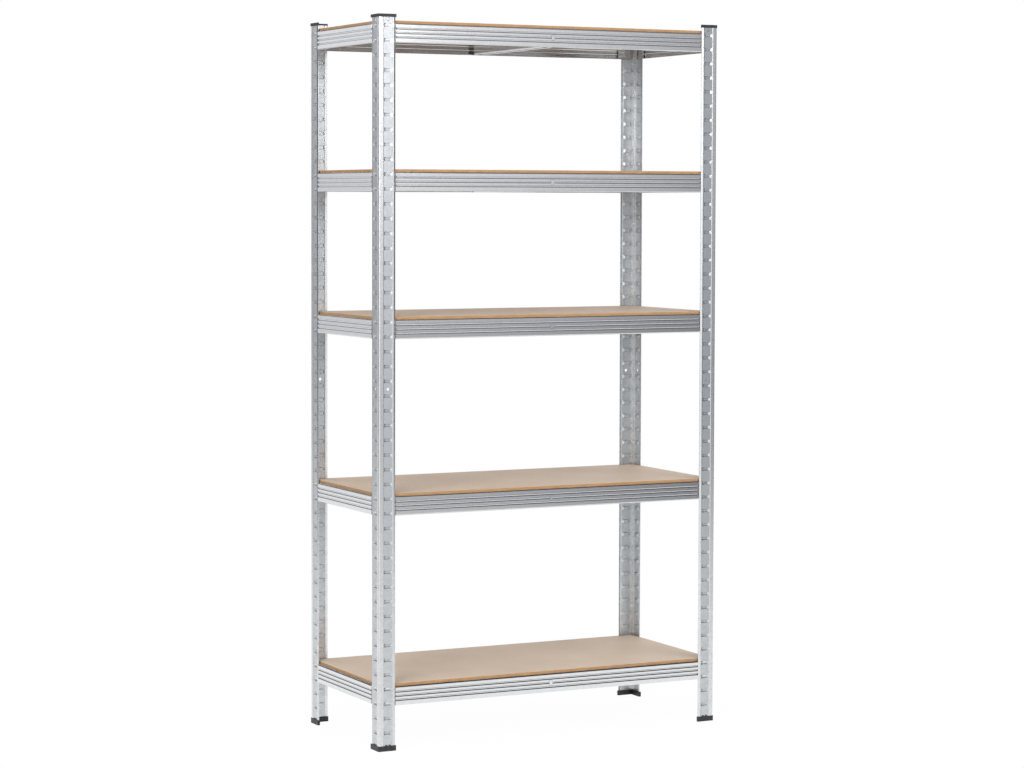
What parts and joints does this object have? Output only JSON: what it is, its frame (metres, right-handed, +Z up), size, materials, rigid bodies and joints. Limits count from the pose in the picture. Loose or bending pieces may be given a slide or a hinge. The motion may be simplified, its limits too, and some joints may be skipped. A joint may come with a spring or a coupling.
{
  "type": "metal shelving unit",
  "caption": "Free-standing galvanised steel boltless rack: slotted corner posts, ribbed hook-in beams and loose fibreboard shelves on black plastic feet.",
  "frame": {"origin": "on the floor, in the middle of the footprint", "axes": "+Z up, +X to the right along the long side, -Y out of the front"},
  "size_m": [0.9028, 0.4028, 1.7],
  "materials": {
    "galvanised_steel": "zinc coated, semi-bright with a fine spangle",
    "fibreboard": "plain pressed fibreboard, matt, darker at the edges",
    "black_plastic": "moulded, matt"
  },
  "bodies": {
    "rack": {"post_lower_front_left": "galvanised_steel", "post_upper_front_left": "galvanised_steel", "connector_front_left": "galvanised_steel", "post_lower_front_right": "galvanised_steel", "post_upper_front_right": "galvanised_steel", "connector_front_right": "galvanised_steel", "post_lower_rear_right": "galvanised_steel", "post_upper_rear_right": "galvanised_steel", "connector_rear_right": "galvanised_steel", "post_lower_rear_left": "galvanised_steel", "post_upper_rear_left": "galvanised_steel", "connector_rear_left": "galvanised_steel", "beam_front_1": "galvanised_steel", "beam_rear_1": "galvanised_steel", "beam_left_1": "galvanised_steel", "beam_right_1": "galvanised_steel", "tie_bar_1": "galvanised_steel", "beam_front_2": "galvanised_steel", "beam_rear_2": "galvanised_steel", "beam_left_2": "galvanised_steel", "beam_right_2": "galvanised_steel", "tie_bar_2": "galvanised_steel", "beam_front_3": "galvanised_steel", "beam_rear_3": "galvanised_steel", "beam_left_3": "galvanised_steel", "beam_right_3": "galvanised_steel", "tie_bar_3": "galvanised_steel", "beam_front_4": "galvanised_steel", "beam_rear_4": "galvanised_steel", "beam_left_4": "galvanised_steel", "beam_right_4": "galvanised_steel", "tie_bar_4": "galvanised_steel", "beam_front_5": "galvanised_steel", "beam_rear_5": "galvanised_steel", "beam_left_5": "galvanised_steel", "beam_right_5": "galvanised_steel", "tie_bar_5": "galvanised_steel", "foot_front_left": "black_plastic", "cap_front_left": "black_plastic", "foot_front_right": "black_plastic", "cap_front_right": "black_plastic", "foot_rear_right": "black_plastic", "cap_rear_right": "black_plastic", "foot_rear_left": "black_plastic", "cap_rear_left": "black_plastic"},
    "board_1": {"board_1": "fibreboard"},
    "board_2": {"board_2": "fibreboard"},
    "board_3": {"board_3": "fibreboard"},
    "board_4": {"board_4": "fibreboard"},
    "board_5": {"board_5": "fibreboard"}
  },
  "joints": [
    {"name": "board_1_lift", "type": "slide", "parent": "rack", "child": "board_1", "axis": [0, 0, 1], "range_m": [0, 0.39]},
    {"name": "board_2_lift", "type": "slide", "parent": "rack", "child": "board_2", "axis": [0, 0, 1], "range_m": [0, 0.356]},
    {"name": "board_3_lift", "type": "slide", "parent": "rack", "child": "board_3", "axis": [0, 0, 1], "range_m": [0, 0.288]},
    {"name": "board_4_lift", "type": "slide", "parent": "rack", "child": "board_4", "axis": [0, 0, 1], "range_m": [0, 0.288]},
    {"name": "board_5_lift", "type": "slide", "parent": "rack", "child": "board_5", "axis": [0, 0, 1], "range_m": [0, 0.3]}
  ]
}
